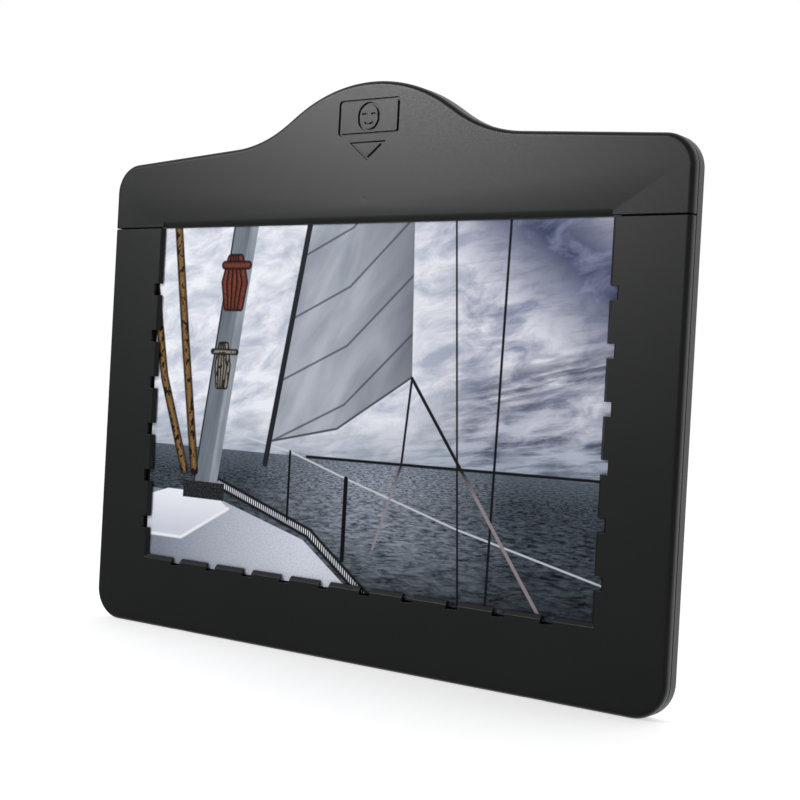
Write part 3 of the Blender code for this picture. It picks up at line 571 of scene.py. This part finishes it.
for side, z in hookSpots:
    inner, outer = side * (edgeX - tray["hookReach"]), side * (edgeX + 0.2)
    combine(rear, bar("hook", (min(inner, outer), hookY, z - tray["hookLong"] / 2),
                      (max(inner, outer), hookY + tray["hookThick"], z + tray["hookLong"] / 2)), "UNION")
for side in (-1, 1):
    x, r, half = side * hinge["x"], hinge["lugRadius"], hinge["lug"] / 2
    lowLug, highLug, backLug = pivotZ - 0.1 * r, pivotZ + 1.6 * r, padBack
    lug = [arc(pivotY, pivotZ, r, 100, 290, 24), (pivotY + 1.6 * r, lowLug), (backLug, lowLug),
           (backLug, highLug), (pivotY + 0.7 * r, highLug)]
    combine(rear, slab("hingeLug", lug, x - half, x + half, "YZ"), "UNION")
    combine(rear, rod("lugEye", hinge["pin"] + hinge["play"],
                      (x - 6, pivotY, pivotZ), (x + 6, pivotY, pivotZ), 32))
    x, z, y = side * catches["x"], catches["z"], catches["magnetY"]
    seat = catches["magnet"] + catches["seat"]
    combine(rear, rod("magnetCup", seat + catches["wall"], (x, y, z), (x, padBack, z), 64), "UNION")
    combine(rear, rod("magnetSeat", seat, (x, y - 1, z), (x, y + catches["thick"] + catches["seat"], z), 64))
for x, z in screwSpots:
    combine(rear, rod("screwPad", screws["boss"] + screws["padWall"],
                      (x, tray["floor"] - screws["padHigh"], z), (x, padBack, z), 48), "UNION")
    combine(rear, rod("screwSink", screws["head"] + screws["slack"],
                      (x, screws["headY"] - screws["slack"], z), (x, backY + 1, z), 48))
    combine(rear, rod("screwHole", screws["shank"] + screws["slack"], (x, 0.0, z), (x, backY + 1, z), 32))
finishPiece(rear, shellPlastic, "tray", "rear_tray")
print("rear tray built")


# print: satin paper with its own seascape, laid out in millimetres from the lower left corner

def makePrintMaterial():
    # inkjet photo paper: the dye lies under a satin coat, so the ink has no edge that can be felt
    material, tree, shader = newMaterial("satinPhotoPaper", "#c8ccd6", 0.42, IOR=1.45)
    shader.inputs["Specular IOR Level"].default_value = 0.12
    world = addNode(tree, "ShaderNodeTexCoord").outputs["Object"]
    mapped = addNode(tree, "ShaderNodeMapping", {"Vector": world, "Scale": (1 / mm, 0, 1 / mm),
                                                 "Location": (-printLow.x, 0, -printLow.z)})
    here = mapped.outputs["Vector"]
    split = addNode(tree, "ShaderNodeSeparateXYZ", {"Vector": here})
    acrossU, upV = split.outputs["X"], split.outputs["Z"]

    horizon = 35.0

    def math(kind, a, b=0.0, c=0.0):
        return addNode(tree, "ShaderNodeMath", {0: a, 1: b, 2: c}, operation=kind).outputs[0]

    def limit(value, low=0.0, high=1.0):
        return math("MINIMUM", math("MAXIMUM", value, low), high)

    def share(mask, amount):
        return math("MULTIPLY", limit(mask), amount)

    def vector(kind, a, b, out="Vector"):
        return addNode(tree, "ShaderNodeVectorMath", {0: a, 1: b}, operation=kind).outputs[out]

    def sideOf(a, b, soft=0.2):
        # one where the point lies to the right of the way from a to b
        run = Vector((b[0] - a[0], b[1] - a[1]))
        normal = Vector((run.y, -run.x)).normalized() / soft
        along = vector("DOT_PRODUCT", here, (normal.x, 0, normal.y), "Value")
        return math("ADD", along, 0.5 - normal.x * a[0] - normal.y * a[1])

    def polygon(points, soft=0.2):
        # convex, its corners given clockwise
        mask = None
        for a, b in zip(points, points[1:] + points[:1]):
            edge = sideOf(a, b, soft)
            mask = edge if mask is None else math("MINIMUM", mask, edge)
        return mask

    def distance(points):
        nearest = None
        for a, b in zip(points, points[1:]):
            run = Vector((b[0] - a[0], 0, b[1] - a[1]))
            offset = vector("SUBTRACT", here, (a[0], 0, a[1]))
            part = limit(vector("DOT_PRODUCT", offset, run / run.length_squared, "Value"))
            foot = addNode(tree, "ShaderNodeVectorMath", {0: run, "Scale": part}, operation="SCALE")
            gap = vector("DISTANCE", offset, foot.outputs[0], "Value")
            nearest = gap if nearest is None else math("MINIMUM", nearest, gap)
        return nearest

    def band(gap, width, soft=0.25):
        return math("MULTIPLY_ADD", gap, -1 / soft, width / 2 / soft + 0.5)

    def stroke(points, width, soft=0.25):
        return band(distance(points), width, soft)

    def noise(scaleU, scaleV, detail=3.0, rough=0.55, turn=0.0, shift=0.0, warp=0.0):
        turned = addNode(tree, "ShaderNodeMapping", {"Vector": here, "Rotation": (0, radians(turn), 0)})
        lay = addNode(tree, "ShaderNodeMapping", {"Vector": turned.outputs["Vector"],
                                                  "Location": (shift, shift, 0),
                                                  "Scale": (1 / scaleU, 1, 1 / scaleV)})
        return addNode(tree, "ShaderNodeTexNoise", {"Vector": lay.outputs["Vector"], "Scale": 1.0,
                                                    "Detail": detail, "Roughness": rough,
                                                    "Distortion": warp}).outputs["Fac"]

    def ramp(value, low, high, outLow=0.0, outHigh=1.0):
        slope = (outHigh - outLow) / (high - low)
        line = math("MULTIPLY_ADD", value, slope, outLow - low * slope)
        return limit(line, min(outLow, outHigh), max(outLow, outHigh))

    def mix(mask, under, over):
        return mixColours(tree, mask, under, over)

    # sky: bright haze on the left, a storm bank in the upper right corner, slanting streaks below it
    puff = noise(13, 6, 6, 0.62, 16, shift=3.0, warp=0.5)
    streak = noise(26, 2.6, 5, 0.6, 13, shift=8.0, warp=0.4)
    wisp = noise(17, 2.2, 5, 0.6, 7, shift=2.0, warp=0.3)
    calm = mix(ramp(puff, 0.34, 0.6), "#b4bccd", "#eef0f7")
    right = mix(ramp(puff, 0.36, 0.62), "#8f96b0", "#e8e9f2")
    right = mix(ramp(wisp, 0.5, 0.66, 0, 0.45), right, "#7f87a1")
    lower = mix(ramp(wisp, 0.4, 0.6), "#4e586f", "#b9bdd0")
    lower = mix(ramp(puff, 0.45, 0.65, 0, 0.6), lower, "#cfd2e0")
    right = mix(ramp(math("MULTIPLY_ADD", puff, 14.0, upV), 66, 50), right, lower)
    storm = math("MULTIPLY_ADD", puff, -30.0, distance([(120, 105), (155, 80)]))
    right = mix(ramp(storm, 4, -11), right, mix(ramp(puff, 0.4, 0.66), "#3f4765", "#838aa6"))
    bandGap = math("MULTIPLY_ADD", wisp, 6.0, distance([(105, 50), (155, 65)]))
    dark = math("MULTIPLY", ramp(bandGap, 11, 3), ramp(streak, 0.6, 0.44))
    right = mix(share(dark, 0.85), right, "#39425b")
    sky = mix(ramp(math("MULTIPLY_ADD", puff, 18.0, acrossU), 102, 124), calm, right)
    sky = mix(ramp(upV, horizon, horizon + 12, 0.7, 0), sky, mix(ramp(wisp, 0.38, 0.6), "#5f6b7d", "#a3afbe"))

    # sea: three sizes of ripple, the largest nearest to the viewer
    farShare, nearShare = ramp(upV, 18, 31), ramp(upV, 24, 6, 0, 0.6)
    ripple = math("MULTIPLY", noise(1.3, 0.22, 3, 0.6, 1, shift=5.0, warp=0.4), farShare)
    ripple = math("MULTIPLY_ADD", noise(7.5, 1.7, 5, 0.66, 4, shift=15.0, warp=0.8), nearShare, ripple)
    rest = math("MAXIMUM", math("SUBTRACT", math("SUBTRACT", 1.0, farShare), nearShare), 0.0)
    ripple = math("MULTIPLY_ADD", noise(3.2, 0.62, 4, 0.65, 2, shift=11.0, warp=0.6), rest, ripple)
    glare = ramp(distance([(85, 35), (80, 20), (90, 5)]), 4, 42, 1, 0)
    water = mix(ramp(ripple, 0.4, 0.62), "#14191e", "#55606b")
    shine = mix(ramp(ripple, 0.38, 0.6), "#3b444d", "#aab3c2")
    sea = mix(math("MULTIPLY", glare, ramp(upV, 2, 30, 0.35, 1.0)), water, shine)
    sea = mix(ramp(upV, 28, horizon, 0, 0.45), sea, "#6d7885")
    sea = mix(ramp(upV, 0, 15, 0.45, 0), sea, "#0e1215")
    picture = mix(ramp(upV, horizon - 0.1, horizon + 0.1), sea, sky)
    picture = mix(stroke([(60, horizon), (155, horizon + 0.5)], 0.8), picture, "#16181c")

    # side deck and coachroof
    grit = noise(0.5, 0.5, 2, 0.6, shift=2.0)
    deck = mix(ramp(acrossU, 5, 60), "#858b9b", "#dde2ee")
    deck = mix(ramp(grit, 0.42, 0.66, 0, 0.5), deck, mix(ramp(acrossU, 0, 70), "#5d6373", "#b6bcca"))
    picture = mix(polygon([(-2, -2), (-2, 22), (30, 20), (60, 12), (80, -2)]), picture, deck)
    roof = mix(ramp(distance([(0, 22), (30, 22)]), 1, 12), "#eef0f7", "#cfd3e0")
    picture = mix(polygon([(-2, 8), (-2, 19), (8, 22), (26, 22), (32, 18), (14, 8)], 0.3), picture, roof)
    picture = mix(stroke([(-2, 8), (14, 8), (32, 18)], 0.9, 0.5), picture, "#f2f3f8")

    # rope along the deck's edge, guard posts and their wire
    edgeGap = distance([(28, 25), (62, 14), (84, -2)])
    picture = mix(band(edgeGap, 3.2, 0.5), picture, "#191c20")
    lay = addNode(tree, "ShaderNodeTexWave", {"Vector": here, "Scale": 0.42, "Distortion": 0.6,
                                              "Detail": 1.0}, bands_direction="X").outputs["Fac"]
    picture = mix(band(edgeGap, 1.4, 0.3), picture, mix(ramp(lay, 0.45, 0.6), "#15171a", "#d8dbe2"))
    picture = mix(stroke([(32, 40), (54, 36), (74, 30), (110, 20), (155, 10)], 0.5), picture, "#c9ced6")
    for foot, height, width in (((54, 17), 19, 0.8), ((74, 8), 22, 1.4)):
        picture = mix(stroke([foot, (foot[0], foot[1] + height)], width), picture, "#101215")

    # headsail: a darker leech and evenly spaced seams
    weave = noise(9, 30, 4, 0.5, -32, shift=4.0, warp=0.4)
    leech = ramp(acrossU, 66, 96)
    canvas = mix(ramp(weave, 0.35, 0.65), "#949aa6", "#b6bbc5")
    canvas = mix(share(math("MULTIPLY", leech, leech), 0.9), canvas, "#5b616b")
    seamGap = None
    for seam in range(4):
        gap = distance([(46, 38 + 16 * seam), (72, 50 + 16 * seam), (96, 72 + 16 * seam)])
        seamGap = gap if seamGap is None else math("MINIMUM", seamGap, gap)
    canvas = mix(share(band(seamGap, 0.6, 0.3), 0.8), canvas, "#3f444d")
    footRope = [(46, 38), (70, 43), (94, 58)]
    canvas = mix(stroke(footRope, 1.2), canvas, "#4b515b")
    sail = [(46, 38), (58, 105), (92, 105), (94, 58), (70, 43)]
    picture = mix(polygon(sail, 0.25), picture, canvas)
    picture = mix(stroke([(45, 32), (58, 105)], 1.9, 0.3), picture, "#23262c")

    # shrouds and sheets
    sheetTone = mix(ramp(upV, 28, horizon), "#94888d", "#1b1d22")
    picture = mix(stroke([(105, 105), (112, -2)], 0.6), picture, "#15171c")
    picture = mix(stroke([(122, 105), (120, -2)], 0.75), picture, "#15171c")
    picture = mix(stroke([(94, 58), (138, -2)], 0.95), picture, sheetTone)
    picture = mix(stroke([(94, 58), (92, 35), (84, 12)], 0.75), picture, sheetTone)

    # mast and its foot
    spar = mix(sideOf((24, 24), (36, 105), 0.6), "#727b85", "#98a0ab")
    spar = mix(ramp(noise(2.5, 22, 4, 0.6, -10, shift=9.0), 0.4, 0.7, 0, 0.6), spar, "#4d535c")
    picture = mix(polygon([(18, 24), (30, 105), (39, 105), (27, 24)], 0.25), picture, spar)
    picture = mix(stroke([(18, 24), (30, 105)], 0.6), picture, "#2e3238")
    boot = mix(ramp(grit, 0.45, 0.62), "#17191c", "#3d3f43")
    picture = mix(polygon([(14, 20), (14, 25), (30, 25), (30, 20)], 0.3), picture, boot)

    # three-strand ropes: lighter along the middle, dark flecks where the tracer yarn comes round
    def rope(under, line, width, light, dark, edge):
        gap = distance(line)
        strand = mix(ramp(gap, width * 0.1, width * 0.5), light, dark)
        return mix(band(gap, width, 0.35), mix(band(gap, width + 0.6, 0.4), under, edge), strand)

    fleck = ramp(noise(1.6, 2.6, 2, 0.6, -8, shift=6.0), 0.53, 0.58)
    yarn = ramp(noise(0.5, 1.0, 2, 0.7, 30, shift=13.0), 0.35, 0.65)
    tanLight = mix(fleck, mix(yarn, "#6f5230", "#94703f"), "#1d1b1c")
    tanDark = mix(fleck, "#33261a", "#101012")
    for line in ([(6, 105), (12, 65), (18, 28)], [(-2, 85), (4, 55), (14, 28)]):
        picture = rope(picture, line, 2.6, tanLight, tanDark, "#2b2823")
    redLight = mix(yarn, "#5f2c23", "#824738")
    greyLight = mix(fleck, "#8b877d", "#232120")
    # each hank hangs on the mast from one turn, its strands spread out downwards
    hanks = ((30, 90, 14, 2.0, redLight, "#2c1310"), (27, 65, 12, 1.2, greyLight, "#35322e"))
    for u, v, drop, width, light, dark in hanks:
        for strand in range(5):
            lean = (strand - 2) * width * 0.8
            line = [(u + lean * 0.6, v), (u + lean * 1.2, v - drop / 2), (u + lean * 0.8, v - drop)]
            picture = rope(picture, line, width, light, dark, "#180b0a")
        picture = rope(picture, [(u - 4, v - 2), (u + 5, v - 2)], width, light, dark, "#180b0a")
    tree.links.new(picture, shader.inputs["Base Color"])

    # the coat: a faint pebble and tiny changes of gloss
    pebble = addNode(tree, "ShaderNodeTexNoise", {"Vector": world, "Scale": 1 / (0.35 * mm),
                                                  "Detail": 2.0}).outputs["Fac"]
    tree.links.new(ramp(pebble, 0.3, 0.7, 0.36, 0.48), shader.inputs["Roughness"])
    bump = addNode(tree, "ShaderNodeBump", {"Height": pebble, "Strength": 0.15, "Distance": 0.004 * mm})
    tree.links.new(bump.outputs["Normal"], shader.inputs["Normal"])
    return material


sheet = bar("photoPrint", printLow, printHigh)
bevelEdges(sheet, lambda a, b: near(a.x, b.x) and near(a.z, b.z), 0.05, 2)
finishPiece(sheet, makePrintMaterial(), "tray", "photo_print", edge=0.03)
print("print built")


# pressure plate: steps for the hooks, a lattice of ribs on its back

plateLow, plateHigh = nodeBox("pressure_plate")
plate = bar("pressurePlate", plateLow, plateHigh)
panel = {"across": 5, "up": 3, "edge": 4.0, "rib": 1.4, "deep": 0.35, "corner": 0.6, "slack": 0.3}
bevelEdges(plate, lambda a, b: near(a.x, b.x) and near(a.z, b.z), panel["corner"], 4)
for side, z in hookSpots:
    inner, outer = side * (edgeX - tray["hookReach"] - panel["slack"]), side * (printHigh.x + 1)
    reach = tray["hookLong"] / 2 + panel["slack"]
    combine(plate, bar("plateStep", (min(inner, outer), plateLow.y - 1, z - reach),
                       (max(inner, outer), hookY + tray["hookThick"] + panel["slack"], z + reach)))
cellWide = (plateHigh.x - plateLow.x - 2 * panel["edge"] + panel["rib"]) / panel["across"]
cellTall = (plateHigh.z - plateLow.z - 2 * panel["edge"] + panel["rib"]) / panel["up"]
for column in range(panel["across"]):
    for row in range(panel["up"]):
        x, z = plateLow.x + panel["edge"] + column * cellWide, plateLow.z + panel["edge"] + row * cellTall
        combine(plate, bar("panelCell", (x, plateHigh.y - panel["deep"], z),
                           (x + cellWide - panel["rib"], plateHigh.y + 1, z + cellTall - panel["rib"])))
finishPiece(plate, platePlastic, "plate", "pressure_plate")
print("pressure plate built")


# springs: bowed bronze strips with their ends turned up

springs = {"thick": 0.2, "travel": 0.8, "steps": 28, "edge": 0.02}


def makeSpring(name, low, high):
    # the strip is drawn flat and swung upright, so that it bows along Y and is as wide as its Z
    bow = high.y - low.y - springs["thick"]
    radius = ((high.x - low.x) ** 2 / 4 + bow ** 2) / (2 * bow)
    sweep = (high.x - low.x) / 2 / radius * 180 / pi
    x, y = (low.x + high.x) / 2, high.y - radius
    path = [arc(x, y, radius, 90 - sweep, 90 + sweep, springs["steps"]),
            arc(x, y, radius - springs["thick"], 90 + sweep, 90 - sweep, springs["steps"])]
    strip = slab(name, path, low.z, high.z)
    strip.data.transform(Matrix(((1, 0, 0, 0), (0, 0, 1, 0), (0, 1, 0, 0), (0, 0, 0, 1))))
    strip.data.flip_normals()
    return strip


springTags = ("bottom_left", "bottom_right", "top_left", "top_right")
firstLow, firstHigh = nodeBox("plate_spring_" + springTags[0])
firstSpring = makeSpring("plateSpring", firstLow, firstHigh)
finishSurface(firstSpring, bronze, springs["edge"])
for tag in springTags:
    low, high = nodeBox("plate_spring_" + tag)
    strip = copyTo(firstSpring, "plateSpring_" + tag, low - firstLow)
    register(strip, "tray", "plate_spring_" + tag)
    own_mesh(strip)
bpy.data.objects.remove(firstSpring, do_unlink=True)
print("springs built")


# hinge pins, magnets and keepers

def makePin(name, low, high):
    y, z = (low.y + high.y) / 2, (low.z + high.z) / 2
    pin = rod(name, hinge["pin"], (low.x, y, z), (high.x, y, z), 40)
    bevelEdges(pin, lambda a, b: near(a.x, b.x), hinge["pinEdge"], 3)
    return pin


def makeDisc(name, low, high):
    x, z = -catches["x"], catches["z"]
    disc = rod(name, catches["magnet"], (x, low.y, z), (x, high.y, z), 72)
    bevelEdges(disc, lambda a, b: near(a.y, b.y), catches["edge"], 3)
    return disc


pairs = (
    ("hingePin_", "hinge_pin_", makePin, pinSteel, "frame", "steel"),
    ("catchMagnet_", "catch_magnet_", makeDisc, nickel, "tray", "magnet"),
    ("catchKeeper_", "catch_keeper_", makeDisc, keeperSteel, "frame", "steel"),
)
leftPieces = []
for name, node, make, material, body, slotName in pairs:
    leftPiece = make(name, *nodeBox(node + "left"))
    finishSurface(leftPiece, material, 0)
    leftPieces.append(leftPiece)
for tag in ("left", "right"):
    for leftPiece, (name, node, make, material, body, slotName) in zip(leftPieces, pairs):
        shift = nodeBox(node + tag)[0] - nodeBox(node + "left")[0]
        register(copyTo(leftPiece, name + tag, shift), body, node + tag)
for leftPiece in leftPieces:
    bpy.data.objects.remove(leftPiece, do_unlink=True)
print("pins, magnets and keepers built")


# cover screws: low domed heads with a cross recess, and a thread on the shank

thread = {"pitch": 0.6, "deep": 0.14, "tip": 0.8, "run": 2.4, "half": 0.2, "sink": 0.05, "point": 0.12}


def makeScrew(name, x, z, tipY):
    headTop = screws["headY"] + screws["headHigh"]
    body = rod(name, screws["head"], (x, screws["headY"], z), (x, headTop, z), 56)
    bevelEdges(body, lambda a, b: near(a.y, headTop) and near(b.y, headTop), screws["dome"], 5)
    core = screws["shank"] - thread["deep"]
    root = core - thread["sink"]
    coreY = tipY + thread["tip"]
    combine(body, rod("shank", screws["shank"], (x, coreY + thread["run"], z),
                      (x, screws["headY"] + 0.2, z), 40), "UNION")
    combine(body, rod("core", core, (x, coreY, z), (x, screws["headY"], z), 40), "UNION")
    combine(body, rod("tip", thread["point"], (x, tipY, z), (x, coreY, z), 40, core), "UNION")
    for turn in range(int(thread["run"] / thread["pitch"])):
        y = coreY + (turn + 0.5) * thread["pitch"]
        ridge = rod("ridge", root, (x, y - thread["half"], z), (x, y, z), 40, screws["shank"])
        combine(ridge, rod("ridgeBack", screws["shank"], (x, y - 0.001, z), (x, y + thread["half"], z), 40,
                           root), "UNION")
        combine(body, ridge, "UNION")
    for wide, tall in ((screws["crossArm"], screws["crossHalf"]), (screws["crossHalf"], screws["crossArm"])):
        combine(body, bar("cross", (x - wide, headTop - screws["crossDeep"], z - tall),
                          (x + wide, headTop + 0.2, z + tall)))
    return body


firstX, firstZ = screwSpots[0]
firstScrew = makeScrew("coverScrew", firstX, firstZ, nodeBox("cover_screw_1")[0].y)
finishSurface(firstScrew, screwZinc, 0.03)
for index, (x, z) in enumerate(screwSpots):
    screw = copyTo(firstScrew, "coverScrew_%d" % (index + 1), (x - firstX, 0, z - firstZ))
    register(screw, "tray", "cover_screw_%d" % (index + 1))
bpy.data.objects.remove(firstScrew, do_unlink=True)
print("cover screws built")


# studio, in metres

studio = {
    "floorSize": 6.0, "floorGlow": 0.55, "skyFront": 0.10, "skyBehind": 1.0,
    "keyPlace": (-0.25, -0.36, 0.30), "keyAim": (0, 0, 0.13), "keySize": (0.16, 0.12), "keyPower": 1.05,
}
deselectAll()
bpy.ops.mesh.primitive_plane_add(size=studio["floorSize"])
floor = bpy.context.object
floor.name = "studioFloor"
floorPaper, floorShader = newMaterial("paleStudioPaper", "#f4f4f4", 0.9)[::2]
floorShader.inputs["Emission Color"].default_value = (1, 1, 1, 1)
floorShader.inputs["Emission Strength"].default_value = studio["floorGlow"]
floor.data.materials.append(floorPaper)
floor.visible_glossy = False

world = bpy.data.worlds.new("studioWorld")
world.use_nodes = True
bpy.context.scene.world = world
worldTree = world.node_tree
direction = addNode(worldTree, "ShaderNodeTexCoord").outputs["Generated"]
behind = addNode(worldTree, "ShaderNodeVectorMath", {0: direction, 1: (0, 1, 0)}, operation="DOT_PRODUCT")
fade = addNode(worldTree, "ShaderNodeMapRange", {"Value": behind.outputs["Value"], "From Min": -0.1,
                                                 "From Max": 0.25, "To Min": studio["skyFront"],
                                                 "To Max": studio["skyBehind"]}).outputs[0]
worldTree.links.new(fade, worldTree.nodes["Background"].inputs["Strength"])
worldTree.nodes["Background"].inputs["Color"].default_value = (1, 1, 1, 1)


def softLight(name, spot, aim, size, power):
    light = bpy.data.lights.new(name, "AREA")
    light.shape = "RECTANGLE"
    light.size, light.size_y = size
    light.energy = power
    obj = bpy.data.objects.new(name, light)
    bpy.context.scene.collection.objects.link(obj)
    obj.location = spot
    obj.rotation_euler = (Vector(aim) - Vector(spot)).to_track_quat("-Z", "Y").to_euler()


softLight("keySoftbox", studio["keyPlace"], studio["keyAim"], studio["keySize"], studio["keyPower"])

bpy.context.scene.view_settings.view_transform = "Standard"
view = {
    "lens": 65.25, "sensor": 36.0, "place": (0.23581, -0.31335, 0.07531), "turn": (89.425, -3.082, 35.436),
}
camera = bpy.data.cameras.new("camera")
camera.lens, camera.sensor_width = view["lens"], view["sensor"]
cameraObject = bpy.data.objects.new("camera", camera)
bpy.context.scene.collection.objects.link(cameraObject)
cameraObject.location = view["place"]
cameraObject.rotation_euler = Euler([radians(angle) for angle in view["turn"]])
bpy.context.scene.camera = cameraObject
print("studio set")
